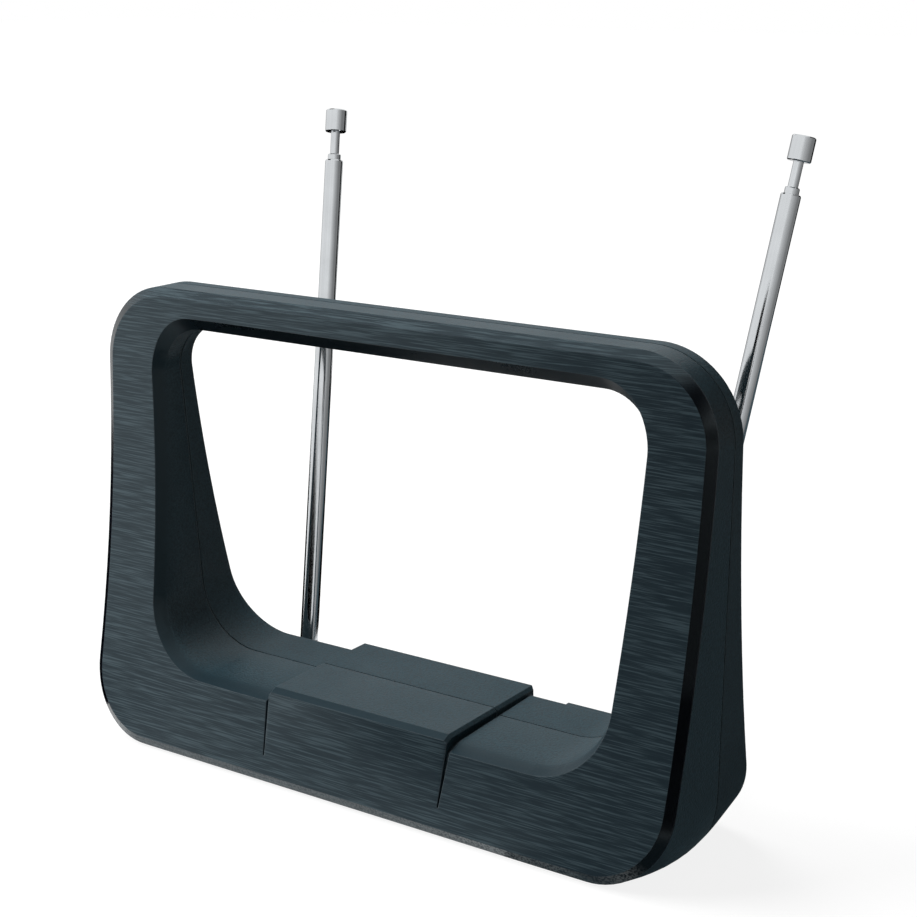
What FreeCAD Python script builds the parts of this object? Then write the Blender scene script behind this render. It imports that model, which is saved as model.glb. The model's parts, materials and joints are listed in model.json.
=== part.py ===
import FreeCAD, Part
import math
import os

V = FreeCAD.Vector
os.makedirs("parts", exist_ok=True)

# Indoor antenna: frame housing in two shells, two telescopic rods behind it.
# Millimetres, +Z up, +Y to the rear. Built on the table round the middle of the base, then moved
# along Y so that the origin is under the middle of the whole.

# Housing
base_width = 230.0
top_width = 236.8
frame_height = 158.25
base_depth = 62.7
top_depth = 17.0
top_shift = -1.4
face_bow = 5.45
base_corner_r = 25.9
top_corner_r = 26.7
wall = 2.2
outer_bevel_face = 3.15
outer_bevel_side = 1.9
rear_round = 1.6

# Window
post_base = 27.3
post_top = 23.2
window_floor = 29.1
top_bar = 13.9
window_base_r = 23.4
window_top_r = 15.4
window_bevel_face = 1.7
window_bevel_wall = 4.8
window_draft = 0.03

# Raised centre block
block_width = 69.8
block_rise = 2.3
block_flank = 1.15
block_shoulder = 1.05
block_taper = 1.0
block_front_proud = 0.9
block_front_step = 0.45
block_rear_proud = 3.8
block_merge = 9.0
block_root = 2.0
block_bevel_drop = 1.3
block_bevel_run = 2.3
block_line_top = 1.4
block_line_low = 0.5
block_line_depth = 0.9

# Joint between the shells
seam_base = 4.6
seam_lean = 1.29
groove_width = 0.7
groove_depth = 0.45
lip_reach = 1.6
lip_thick = 1.1
lip_play = 0.1

# Feet
foot_r = 5.5
foot_proud = 1.0
foot_sunk = 1.4
foot_rim = 1.8
foot_floor = 1.5
foot_from_side = 35.0
foot_from_front = 12.4
foot_from_rear = 10.4

# Case screws
screw_r = 1.5
screw_head_r = 2.8
screw_head_h = 2.0
screw_length = 11.0
screw_fit = 0.02
boss_r = 3.4
well_r = 3.2
well_wall = 1.3
screw_seat = 3.0
low_screw_clear = 9.4
low_screw_h = 12.0

# Loop strip
strip_inset = 5.0
strip_thick = 0.6
strip_width = 8.0
strip_front = -5.0
terminal_x = 24.0
terminal_width = 8.0

# Matching board and socket
board_width = 60.0
board_thick = 1.6
board_low = 6.0
board_high = 25.0
board_y = 19.6
board_screw_x = 21.0
board_screw_r = 1.1
board_screw_long = 6.6
peg_r = 3.0
core_width = 14.0
core_deep = 7.5
core_low = 16.8
core_high = 7.5
core_hole_r = 1.6
winding_r = 0.5
pin_hole_r = 0.55
capacitor_x = 13.0
capacitor_wide = 4.0
capacitor_deep = 2.4
capacitor_round = 0.5
socket_z = 15.0
socket_r = 4.76
socket_bore_r = 3.0
socket_pitch = 0.8
socket_depth = 0.35
socket_shank_r = 4.6
socket_out = 9.0
socket_hex = 11.0
socket_nut_h = 2.4
socket_seat_r = 8.0
socket_sunk = 0.6
socket_wall = 5.5
washer_r = 7.2
washer_h = 0.8
insulator_long = 7.0

# Rods
pivot_from_side = 39.9
pivot_rear = 13.1
pivot_z = 13.0
swing_out = 5.55
tilt_back = 13.45
seat_r = 9.0
seat_proud = 0.35
seat_depth = 7.6
spindle_r = 3.0
run_fit = 0.05
disc_r = 8.0
disc_h = 3.0
cheek_thick = 2.2
eye_r = 4.2
lug_thick = 5.0
stub_long = 10.0
pin_r = 1.5
tube_foot = 6.5
tube_top = 186.5
tube_r = 3.35
tube_wall = 0.45
middle_r = 2.43
middle_wall = 0.35
middle_foot = 18.0
tip_r = 1.7
rim_h = 2.0
bush_h = 8.0
middle_out = 2.2
neck_out = 8.3
cap_r = 3.95
cap_h = 8.2
cap_bore = 5.0
tilt_nut_h = 2.2
spindle_nut_h = 3.0
spring_h = 1.0
contact_h = 0.5
contact_tail = 14.0
lead_r = 0.8
lead_sweep = 9.0
lead_drop = 6.0
lead_stand = 4.5
lead_pad = 4.0

# Rear pads under the rods
pad_half = 24.7
pad_proud = 1.3
pad_low = 6.0
pad_step_left = 3.0
pad_step_right = 0.3

# Places that follow from the housing
window_base_width = base_width - 2 * post_base
window_top_width = top_width - 2 * post_top
low_screw_x = block_width / 2 + low_screw_clear
foot_x = base_width / 2 - foot_from_side
front_foot_y = foot_from_front - base_depth / 2
rear_foot_y = base_depth / 2 - foot_from_rear
pivot_x = base_width / 2 - pivot_from_side
pivot_y = base_depth / 2 + pivot_rear
seat_face = base_depth / 2 + seat_proud
seat_inner = seat_face - seat_depth
socket_face = base_depth / 2 - socket_sunk
socket_inner = socket_face - socket_wall
socket_clear = socket_face + washer_h + socket_nut_h
socket_end = socket_face + socket_out


def span(h):
    return h / frame_height


def front_y(h):
    lean = top_shift - top_depth / 2 + base_depth / 2
    return -base_depth / 2 + lean * span(h) + 4 * face_bow * span(h) * (1 - span(h))


def rear_y(h):
    lean = top_shift + top_depth / 2 - base_depth / 2
    return base_depth / 2 + lean * span(h) - 4 * face_bow * span(h) * (1 - span(h))


def seam_y(h):
    return seam_base - math.tan(math.radians(seam_lean)) * h


def box(x0, x1, y0, y1, z0, z1):
    return Part.makeBox(x1 - x0, y1 - y0, z1 - z0, V(x0, y0, z0))


def rod_y(r, x, z, y0, y1):
    return Part.makeCylinder(r, y1 - y0, V(x, y0, z), V(0, 1, 0))


def rounded_wire(corners, radii):
    """Closed wire in the XZ plane through the corners, each rounded by its radius."""
    count = len(corners)
    starts = []
    ends = []
    mids = []
    for i in range(count):
        here = corners[i]
        to_last = (corners[i - 1] - here).normalize()
        to_next = (corners[(i + 1) % count] - here).normalize()
        half = to_last.getAngle(to_next) / 2
        reach = radii[i] / math.tan(half)
        bisector = (to_last + to_next).normalize()
        starts.append(here + to_last * reach)
        ends.append(here + to_next * reach)
        mids.append(here + bisector * (radii[i] / math.sin(half) - radii[i]))
    edges = []
    for i in range(count):
        edges.append(Part.Arc(starts[i], mids[i], ends[i]).toShape())
        edges.append(Part.LineSegment(ends[i], starts[(i + 1) % count]).toShape())
    return Part.Wire(edges)


def ring_wire(low_half, high_half, low, high, low_r, high_r):
    corners = [V(-low_half, 0, low), V(low_half, 0, low), V(high_half, 0, high), V(-high_half, 0, high)]
    return rounded_wire(corners, [low_r, low_r, high_r, high_r])


def slab_of(wire, y0, y1):
    face = Part.Face(wire)
    face.translate(V(0, y0, 0))
    return face.extrude(V(0, y1 - y0, 0))


def outline(inset):
    low = foot_proud + inset
    high = foot_proud + frame_height - inset
    return ring_wire(base_width / 2 - inset, top_width / 2 - inset, low, high,
                     base_corner_r - inset, top_corner_r - inset)


def window(inset):
    low = foot_proud + window_floor - inset
    high = foot_proud + frame_height - top_bar + inset
    return ring_wire(window_base_width / 2 + inset, window_top_width / 2 + inset, low, high,
                     window_base_r + inset, window_top_r + inset)


def window_plug(inset):
    """Solid that fills the window, with the draft that narrows it to the rear."""
    wires = []
    for y in (-base_depth, base_depth):
        wire = window(inset - window_draft * y)
        wire.translate(V(0, y, 0))
        wires.append(wire)
    return Part.makeLoft(wires, True, True)


def face_curve(curve, shift):
    """Exact parabola of a leaning face, run past the base and the top."""
    low = -6.0
    high = frame_height + 6.0
    middle = (low + high) / 2
    crown = 2 * curve(middle) - (curve(low) + curve(high)) / 2
    bezier = Part.BezierCurve()
    bezier.setPoles([
        V(0, curve(low) + shift, low + foot_proud),
        V(0, crown + shift, middle + foot_proud),
        V(0, curve(high) + shift, high + foot_proud),
    ])
    return bezier.toShape()


def side_form(front_shift, rear_shift):
    """Side profile between the front and rear faces, run across the whole width."""
    front = face_curve(front_y, front_shift)
    rear = face_curve(rear_y, rear_shift)
    top = Part.makeLine(front.Vertexes[1].Point, rear.Vertexes[1].Point)
    bottom = Part.makeLine(rear.Vertexes[0].Point, front.Vertexes[0].Point)
    face = Part.Face(Part.Wire([front, top, rear, bottom]))
    face.translate(V(-top_width, 0, 0))
    return face.extrude(V(2 * top_width, 0, 0))


def frame_form(inset):
    """Closed ring of the housing with every wall moved in by inset."""
    ring = slab_of(outline(inset), -base_depth, base_depth)
    ring = ring.common(side_form(inset, -inset))
    return ring.cut(window_plug(inset))


def section_wire(across, points):
    """Closed outline through (y, height) points, with its place along X given by the height."""
    corners = [V(across(h), y, h + foot_proud) for y, h in points]
    return Part.makePolygon(corners + [corners[0]])


def block_half(h):
    """Half width of the block at its crest, which narrows down to where it merges."""
    top = window_floor + block_rise
    return block_width / 2 - block_taper * (top - h) / (top - block_merge)


def block_form(inset):
    """Centre block: proud of the bar in front, on top and behind, with flanks that slope to a step."""
    low = block_merge - block_root
    merge_front = front_y(block_merge) + inset
    merge_rear = rear_y(block_merge) - inset

    def section(side, out, top, front_proud, rear_proud):
        crest_front = front_y(top) - front_proud + inset
        crest_rear = rear_y(top) + rear_proud - inset

        def along(merge_y, crest_y, h):
            return merge_y + (crest_y - merge_y) * (h - block_merge) / (top - block_merge)

        return section_wire(lambda h: side * (block_half(h) + out - inset), [
            (along(merge_front, crest_front, low), low),
            (along(merge_front, crest_front, top - block_bevel_drop), top - block_bevel_drop),
            (crest_front + block_bevel_run, top),
            (crest_rear, top),
            (along(merge_rear, crest_rear, low), low),
        ])

    top = window_floor + block_rise - inset
    crest = (0, top, block_front_proud, block_rear_proud)
    step = (block_flank, top - block_shoulder, block_front_step, block_rear_proud - block_shoulder)
    wires = [section(-1, *step), section(-1, *crest), section(1, *crest), section(1, *step)]
    return Part.makeLoft(wires, True, True)


def block_line(side, form):
    """Groove at the foot of the block's flank, over the bar and down the front."""
    high = window_floor + block_rise
    ends = [(-base_depth, block_merge), (base_depth, block_merge), (base_depth, high), (-base_depth, high)]

    def width(h):
        return block_line_low + (block_line_top - block_line_low) * (h - block_merge) / (high - block_merge)

    near = section_wire(lambda h: side * (block_half(h) + block_flank - block_line_low), ends)
    far = section_wire(lambda h: side * (block_half(h) + block_flank + width(h)), ends)
    sunk = form.copy()
    sunk.translate(V(0, block_line_depth, -block_line_depth))
    return Part.makeLoft([near, far], True, True).common(form).cut(sunk)


def edges_on(shape, test):
    """Edges whose ends and middle all meet the test."""
    found = []
    for edge in shape.Edges:
        first, last = edge.ParameterRange
        points = [edge.valueAt(first + (last - first) * t) for t in (0.0, 0.3, 0.5, 0.7, 1.0)]
        if all(test(p) for p in points):
            found.append(edge)
    return found


def in_window(p, reach):
    """True no further than reach outside the window."""
    low = foot_proud + window_floor - reach
    high = foot_proud + frame_height - top_bar + reach
    return abs(p.x) < window_top_width / 2 + reach and low < p.z < high


def bevelled_form(inset):
    """Ring of the housing, moved in by inset, with the bevel round its window."""
    form = frame_form(inset)
    reach = inset + window_bevel_face + 2.0

    def on_front(p):
        return abs(p.y - front_y(p.z - foot_proud) - inset) < 0.01

    inner = edges_on(form, lambda p: on_front(p) and in_window(p, reach))
    return form.makeChamfer(window_bevel_face, window_bevel_wall, inner)


def housing_form():
    """Outer form of the whole housing with its bevels and the centre block."""
    form = bevelled_form(0)
    reach = window_bevel_face + 2.0

    def on_front(p):
        return abs(p.y - front_y(p.z - foot_proud)) < 0.01

    def on_rear(p):
        return abs(p.y - rear_y(p.z - foot_proud)) < 0.01

    rim = edges_on(form, lambda p: on_front(p) and not in_window(p, reach))
    form = form.makeChamfer(outer_bevel_face, outer_bevel_side, rim)
    form = form.makeFillet(rear_round, edges_on(form, on_rear))
    form = form.cut([block_line(side, form) for side in (-1, 1)])
    return form.fuse(block_form(0))


def hollow_form(inset):
    return bevelled_form(inset).fuse(block_form(inset))


def seam_slab(y0, y1):
    """Leaning slab between two distances behind the joint of the shells."""
    slab = box(-top_width, top_width, y0, y1, -frame_height, 2 * frame_height)
    slab.rotate(V(0, 0, 0), V(1, 0, 0), seam_lean)
    slab.translate(V(0, seam_base, foot_proud))
    return slab


def window_half(h):
    rise = (h - window_floor) / (frame_height - top_bar - window_floor)
    return (window_base_width + (window_top_width - window_base_width) * rise) / 2


def screw_places():
    """Screw axes as (x, height): a pair in the base and two pairs in the posts."""
    places = [(low_screw_x, low_screw_h)]
    for share in (0.44, 0.79):
        h = frame_height * share
        places.append((window_half(h) + wall + well_r + well_wall + 0.4, h))
    return [(side * x, h) for x, h in places for side in (-1, 1)]


def foot_places():
    return [(side * foot_x, y) for side in (-1, 1) for y in (front_foot_y, rear_foot_y)]


def foot_post(x, y):
    return Part.makeCylinder(foot_r + foot_rim, foot_sunk + foot_floor, V(x, y, foot_proud))


def foot_pocket(x, y):
    return Part.makeCylinder(foot_r + 0.03, foot_proud + foot_sunk, V(x, y, 0))


def strip_rests():
    """Short ribs between the outer wall and the loop strip."""
    y0 = strip_front - 2.0
    y1 = strip_front + strip_width - 3.5
    band = slab_of(outline(wall - 0.4), y0, y1).cut(slab_of(outline(strip_inset), y0, y1))
    top = foot_proud + frame_height
    reach = strip_inset + wall
    half = top_width / 2
    boxes = [box(x - 1, x + 1, y0, y1, top - reach, top) for x in (-half / 2, 0, half / 2)]
    boxes += [box(x - 1, x + 1, y0, y1, 0, reach) for x in (-half / 2, half / 2)]
    for share in (0.3, 0.65):
        z = foot_proud + frame_height * share
        side = (base_width + (top_width - base_width) * share) / 2
        boxes.append(box(-side - reach, -side + reach, y0, y1, z - 1, z + 1))
        boxes.append(box(side - reach, side + reach, y0, y1, z - 1, z + 1))
    return [band.common(b) for b in boxes]


def front_shell(housing, hollow):
    half = seam_slab(-2 * base_depth, 0)
    shell = housing.cut(hollow).common(half)
    posts = []
    for x, h in screw_places():
        post = rod_y(boss_r, x, h + foot_proud, -base_depth, base_depth)
        posts.append(post.common(housing).common(half))
    posts += strip_rests()
    posts += [foot_post(x, y).common(housing) for x, y in foot_places() if y < 0]
    shell = shell.fuse(posts)
    holes = []
    for x, h in screw_places():
        seat = seam_y(h) + screw_seat
        holes.append(rod_y(screw_r + screw_fit, x, h + foot_proud, seat - screw_length - 0.4, seat))
    holes += [foot_pocket(x, y) for x, y in foot_places() if y < 0]
    return shell.cut(holes).removeSplitter()


def rod_pad(side):
    """Low pad on the rear face round a rod's seat."""
    middle = side * pivot_x
    step = pad_step_left if side < 0 else pad_step_right
    rear_floor = window_floor + window_draft * rear_y(window_floor)
    high = foot_proud + rear_floor - step
    block = box(middle - pad_half, middle + pad_half, 0, base_depth, pad_low, high)
    plate = side_form(0, pad_proud).cut(side_form(0, -wall / 2))
    return block.common(plate)


def aligning_lip():
    """Lip of the rear shell that reaches inside the front shell."""
    inner = wall + lip_play + lip_thick
    core = hollow_form(inner)
    tongue = hollow_form(wall + lip_play).cut(core).common(seam_slab(-lip_reach, 0))
    root = hollow_form(wall - 0.2).cut(core).common(seam_slab(0, 1.6))
    return tongue.fuse(root)


def rear_shell(housing, hollow):
    half = seam_slab(0, 2 * base_depth)
    shell = housing.cut(hollow).common(half)
    z0 = foot_proud
    posts = [aligning_lip()]
    for x, h in screw_places():
        post = rod_y(well_r + well_wall, x, h + z0, -base_depth, base_depth)
        posts.append(post.common(housing).common(half))
    for side in (-1, 1):
        posts.append(rod_pad(side))
        posts.append(rod_y(seat_r, side * pivot_x, pivot_z, seat_inner, seat_face))
        peg = rod_y(peg_r, side * board_screw_x, socket_z, board_y + board_thick, base_depth)
        posts.append(peg.common(housing))
    posts.append(rod_y(socket_seat_r, 0, socket_z, socket_inner, socket_face))
    posts += [foot_post(x, y).common(housing) for x, y in foot_places() if y > 0]
    shell = shell.fuse(posts)
    holes = []
    for x, h in screw_places():
        seat = seam_y(h) + screw_seat
        holes.append(rod_y(screw_r + 0.15, x, h + z0, -base_depth, seat))
        holes.append(rod_y(well_r, x, h + z0, seat, 2 * base_depth))
    for side in (-1, 1):
        holes.append(rod_y(spindle_r + run_fit, side * pivot_x, pivot_z, 0, base_depth))
        pilot = board_y + board_screw_long + 0.3
        holes.append(rod_y(board_screw_r + screw_fit, side * board_screw_x, socket_z, 0, pilot))
    holes.append(rod_y(socket_r + 0.2, 0, socket_z, 0, base_depth))
    holes += [foot_pocket(x, y) for x, y in foot_places() if y > 0]
    return shell.cut(holes).removeSplitter()


def feet():
    pads = []
    for x, y in foot_places():
        pad = Part.makeCylinder(foot_r, foot_proud + foot_sunk, V(x, y, 0))
        pads.append(pad.makeChamfer(0.4, edges_on(pad, lambda p: p.z < 0.01)))
    return Part.makeCompound(pads)


def cross_head(r, height, shank_r, length):
    """Pan-head screw along +Y: head behind y = 0, shank in front of it."""
    head = rod_y(r, 0, 0, 0, height)
    head = head.makeFillet(height * 0.35, edges_on(head, lambda p: p.y > height - 0.01))
    for w, d in ((r * 0.6, r * 0.14), (r * 0.14, r * 0.6)):
        head = head.cut(box(-w, w, height * 0.5, height + 1, -d, d))
    return head.fuse(rod_y(shank_r, 0, 0, -length, 0))


def case_screws():
    screws = []
    for x, h in screw_places():
        screw = cross_head(screw_head_r, screw_head_h, screw_r, screw_length)
        screw.translate(V(x, seam_y(h) + screw_seat, h + foot_proud))
        screws.append(screw)
    return Part.makeCompound(screws)


def uhf_loop():
    """Flat strip round the frame, open at the bottom, with a tab at each end."""
    y1 = strip_front + strip_width
    ring = slab_of(outline(strip_inset), strip_front, y1)
    ring = ring.cut(slab_of(outline(strip_inset + strip_thick), strip_front, y1))
    inner = terminal_x - terminal_width / 2
    low = foot_proud + strip_inset
    ring = ring.cut(box(-inner, inner, -base_depth, base_depth, 0, low + 2))
    for side in (-1, 1):
        ends = sorted((side * inner, side * (inner + terminal_width)))
        ring = ring.fuse(box(ends[0], ends[1], y1 - 1, board_y, low, low + strip_thick))
    return ring.removeSplitter()


def matching_board():
    board = box(-board_width / 2, board_width / 2, board_y, board_y + board_thick, board_low, board_high)
    holes = [rod_y(board_screw_r + 0.1, side * board_screw_x, socket_z, 0, base_depth) for side in (-1, 1)]
    holes.append(rod_y(pin_hole_r, 0, socket_z, 0, base_depth))
    return board.cut(holes)


def board_screws():
    screws = []
    for side in (-1, 1):
        screw = cross_head(board_screw_r * 1.8, 1.2, board_screw_r, board_screw_long)
        screw.rotate(V(0, 0, 0), V(0, 0, 1), 180)
        screw.translate(V(side * board_screw_x, board_y, socket_z))
        screws.append(screw)
    return Part.makeCompound(screws)


def balun_core():
    """Ferrite block with two holes, standing on the board."""
    core = box(-core_width / 2, core_width / 2, board_y - core_deep, board_y, core_low, core_low + core_high)
    core = core.makeFillet(1.0, edges_on(core, lambda p: abs(abs(p.x) - core_width / 2) < 0.01
                                         and abs(abs(p.z - core_low - core_high / 2) - core_high / 2) < 0.01))
    z = core_low + core_high / 2
    return core.cut([rod_y(core_hole_r, side * core_width / 4, z, 0, base_depth) for side in (-1, 1)])


def wire_path(points, r):
    """Round wire through the points, with round elbows."""
    wire = Part.makeSphere(r, points[0])
    for start, end in zip(points, points[1:]):
        run = end - start
        wire = wire.fuse([Part.makeCylinder(r, run.Length, start, run), Part.makeSphere(r, end)])
    return wire


def balun_winding():
    x = core_width / 4
    z = core_low + core_high / 2
    front = board_y - core_deep - winding_r
    back = board_y - winding_r
    points = [V(-x, back, z), V(-x, front, z), V(x, front, z), V(x, back, z)]
    return wire_path(points, winding_r)


def coupling_capacitors():
    half = capacitor_wide / 2
    z = core_low + core_high / 2
    bodies = []
    for side in (-1, 1):
        x = side * capacitor_x
        body = box(x - half, x + half, board_y - capacitor_deep, board_y, z - half, z + half)
        bodies.append(body.makeFillet(capacitor_round, body.Edges))
    return Part.makeCompound(bodies)


def hexagon(across, height):
    """Hexagonal prism along +Y from y = 0."""
    r = across / math.sqrt(3)
    corners = [V(r * math.cos(math.radians(60 * i)), 0, r * math.sin(math.radians(60 * i))) for i in range(7)]
    return Part.Face(Part.makePolygon(corners)).extrude(V(0, height, 0))


def coax_socket():
    """Coax socket: hexagon behind the board, shank through the rear wall, ringed thread outside it."""
    start = socket_inner
    end = socket_end
    root = socket_r - socket_depth
    count = int((end - socket_clear) / socket_pitch)
    profile = [V(0, start, 0), V(socket_shank_r, start, 0), V(socket_shank_r, socket_clear, 0)]
    for i in range(count):
        y = socket_clear + i * socket_pitch
        profile.append(V(root, y + socket_pitch * 0.27, 0))
        profile.append(V(socket_r, y + socket_pitch * 0.55, 0))
        profile.append(V(socket_r, y + socket_pitch, 0))
    profile.append(V(root, end, 0))
    profile.append(V(0, end, 0))
    profile.append(profile[0])
    thread = Part.Face(Part.makePolygon(profile)).revolve(V(0, 0, 0), V(0, 1, 0), 360)
    hexa = hexagon(socket_hex, start - board_y - board_thick)
    hexa.translate(V(0, board_y + board_thick, 0))
    tail = rod_y(pin_hole_r - 0.05, 0, 0, board_y - 1.0, board_y + board_thick + 1)
    body = thread.fuse([hexa, tail])
    body.translate(V(0, 0, socket_z))
    return body.cut(rod_y(socket_bore_r, 0, socket_z, end - insulator_long, end + 1))


def socket_insulator():
    start = socket_end - insulator_long
    plug = rod_y(socket_bore_r - 0.01, 0, socket_z, start, socket_end - 0.3)
    return plug.cut(rod_y(0.6, 0, socket_z, start + 1, socket_end + 1))


def ring_y(outer, inner, x, z, y0, y1):
    return rod_y(outer, x, z, y0, y1).cut(rod_y(inner, x, z, y0 - 1, y1 + 1))


def socket_washer():
    return ring_y(washer_r, socket_shank_r + 0.02, 0, socket_z, socket_face, socket_face + washer_h)


def socket_nut():
    nut = hexagon(socket_hex, socket_nut_h)
    nut = nut.common(rod_y(socket_hex * 0.56, 0, 0, 0, socket_nut_h))
    nut.translate(V(0, socket_face + washer_h, socket_z))
    return nut.cut(rod_y(socket_shank_r + 0.02, 0, socket_z, 0, 2 * base_depth))


def spindle_contact(side):
    """Contact ring pressed against the rear wall, with a tail for its lead."""
    y0 = seat_inner - contact_h
    ring = rod_y(spindle_r + 2.2, side * pivot_x, pivot_z, y0, seat_inner)
    ends = sorted((side * (pivot_x - 3), side * (pivot_x - contact_tail)))
    ring = ring.fuse(box(ends[0], ends[1], y0, seat_inner, pivot_z - 2, pivot_z + 2))
    ring = ring.cut(rod_y(spindle_r + run_fit, side * pivot_x, pivot_z, 0, base_depth))
    return ring.removeSplitter()


def rod_lead(side):
    x = pivot_x - contact_tail + 2.5
    y = seat_inner - contact_h - lead_r
    pad_x = board_width / 2 - lead_pad
    pad_z = board_high - lead_pad
    points = [
        V(side * x, y, pivot_z),
        V(side * (x - lead_sweep), y - lead_drop, pad_z),
        V(side * (pad_x + lead_drop), board_y - lead_stand, pad_z),
        V(side * pad_x, board_y - lead_stand, pad_z),
        V(side * pad_x, board_y - lead_r, pad_z),
    ]
    return wire_path(points, lead_r)


def spring_washer(side):
    """Coned spring washer between the contact and the spindle nut."""
    back = seat_inner - contact_h - run_fit
    hole = spindle_r + 0.03
    points = [
        V(hole, back - spring_h, 0),
        V(hole, back - spring_h + 0.6, 0),
        V(spindle_r + 2.0, back, 0),
        V(spindle_r + 2.0, back - 0.6, 0),
    ]
    cone = Part.Face(Part.makePolygon(points + [points[0]])).revolve(V(0, 0, 0), V(0, 1, 0), 360)
    cone.translate(V(side * pivot_x, 0, pivot_z))
    return cone


def spindle_nut(side):
    y1 = seat_inner - contact_h - run_fit - spring_h
    nut = hexagon(spindle_r * 3, spindle_nut_h)
    nut = nut.cut(rod_y(spindle_r + 0.01, 0, 0, -1, spindle_nut_h + 1))
    nut.rotate(V(0, 0, 0), V(0, 1, 0), side * swing_out)
    nut.translate(V(side * pivot_x, y1 - spindle_nut_h, pivot_z))
    return nut


def place(shape, side, tilted):
    """Turn a piece built round the pivot into the rod's stance and move it there."""
    if tilted:
        shape.rotate(V(0, 0, 0), V(1, 0, 0), -tilt_back)
    shape.rotate(V(0, 0, 0), V(0, 1, 0), side * swing_out)
    shape.translate(V(side * pivot_x, pivot_y, pivot_z))
    return shape


def rod_x(r, x0, x1):
    return Part.makeCylinder(r, x1 - x0, V(x0, 0, 0), V(1, 0, 0))


def faced_out(shape, side):
    """Turn a piece built for the right rod so that it faces the other way on the left one."""
    shape.rotate(V(0, 0, 0), V(0, 0, 1), 90 - 90 * side)
    return shape


def swivel_fork(side):
    """Disc and two cheeks on the spindle that turns in the rear wall."""
    disc_front = seat_face + run_fit - pivot_y
    disc_back = disc_front + disc_h
    inner = lug_thick / 2 + run_fit
    outer = inner + cheek_thick
    disc = rod_y(disc_r, 0, 0, disc_front, disc_back)
    disc = disc.makeChamfer(0.6, edges_on(disc, lambda p: p.y > disc_back - 0.01))
    end = seat_inner - contact_h - run_fit - spring_h - spindle_nut_h - 0.8 - pivot_y
    fork = disc.fuse(rod_y(spindle_r, 0, 0, end, disc_back - 1))
    for x0, x1 in ((-outer, -inner), (inner, outer)):
        arm = box(x0, x1, disc_back - 0.5, 0, -eye_r, eye_r).fuse(rod_x(eye_r, x0, x1))
        fork = fork.fuse(arm)
    fork = fork.cut(rod_x(pin_r + 0.01, -outer - 1, outer + 1))
    return place(fork.removeSplitter(), side, False)


def tilt_screw(side):
    face = lug_thick / 2 + run_fit + cheek_thick
    head = rod_x(pin_r * 1.8, face, face + 1.8)
    head = head.makeFillet(0.5, edges_on(head, lambda p: p.x > face + 1.79))
    head = head.cut(box(face + 0.9, face + 3, -5, 5, -0.4, 0.4))
    screw = head.fuse(rod_x(pin_r, -face - tilt_nut_h - 0.3, face))
    return place(faced_out(screw, side), side, False)


def tilt_nut(side):
    face = lug_thick / 2 + run_fit + cheek_thick
    nut = hexagon(pin_r * 3.6, tilt_nut_h)
    nut.rotate(V(0, 0, 0), V(0, 0, 1), 90)
    nut.translate(V(-face, 0, 0))
    nut = nut.cut(rod_x(pin_r + 0.01, -face - 9, face))
    return place(faced_out(nut, side), side, False)


def rod_lug(side):
    """Eye between the cheeks, with the stub that the outer tube is pressed on."""
    half = lug_thick / 2
    neck = box(-half, half, -half, half, 0, tube_foot - 1)
    collar = Part.makeCylinder(tube_r, 1.5, V(0, 0, tube_foot - 1.5))
    stub = Part.makeCylinder(tube_r - tube_wall - 0.01, stub_long, V(0, 0, tube_foot))
    lug = rod_x(eye_r, -half, half).fuse([neck, collar, stub])
    return place(lug.cut(rod_x(pin_r + run_fit, -9, 9)).removeSplitter(), side, True)


def turned(points):
    """Solid turned about the rod's axis from (radius, height) points."""
    corners = [V(r, 0, z) for r, z in points]
    face = Part.Face(Part.makePolygon(corners + [corners[0]]))
    return face.revolve(V(0, 0, 0), V(0, 0, 1), 360)


def outer_tube(side):
    bore = tube_r - tube_wall
    mouth = middle_r + run_fit
    points = [
        (bore, tube_foot), (tube_r, tube_foot), (tube_r, tube_top - 0.5), (tube_r - 0.3, tube_top),
        (mouth, tube_top), (mouth, tube_top - rim_h), (bore, tube_top - rim_h),
    ]
    return place(turned(points), side, True)


def middle_tube(side):
    bush = tube_r - tube_wall - run_fit
    bore = middle_r - middle_wall
    mouth = tip_r + run_fit
    top = tube_top + middle_out
    points = [
        (bore, middle_foot), (bush, middle_foot), (bush, middle_foot + bush_h),
        (middle_r, middle_foot + bush_h), (middle_r, top - 0.3), (middle_r - 0.3, top),
        (mouth, top), (mouth, top - rim_h), (bore, top - rim_h),
    ]
    return place(turned(points), side, True)


def tip_rod(side):
    bush = middle_r - middle_wall - run_fit
    foot = middle_foot + 2.0
    top = tube_top + middle_out + neck_out + cap_bore
    points = [
        (0, foot), (bush, foot), (bush, foot + bush_h), (tip_r, foot + bush_h), (tip_r, top), (0, top),
    ]
    return place(turned(points), side, True)


def tip_cap(side):
    low = tube_top + middle_out + neck_out
    edge = 0.35
    points = [
        (tip_r, low), (cap_r - edge, low), (cap_r, low + edge), (cap_r, low + cap_h - edge),
        (cap_r - edge, low + cap_h), (0, low + cap_h), (0, low + cap_bore), (tip_r, low + cap_bore),
    ]
    return place(turned(points), side, True)


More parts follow.
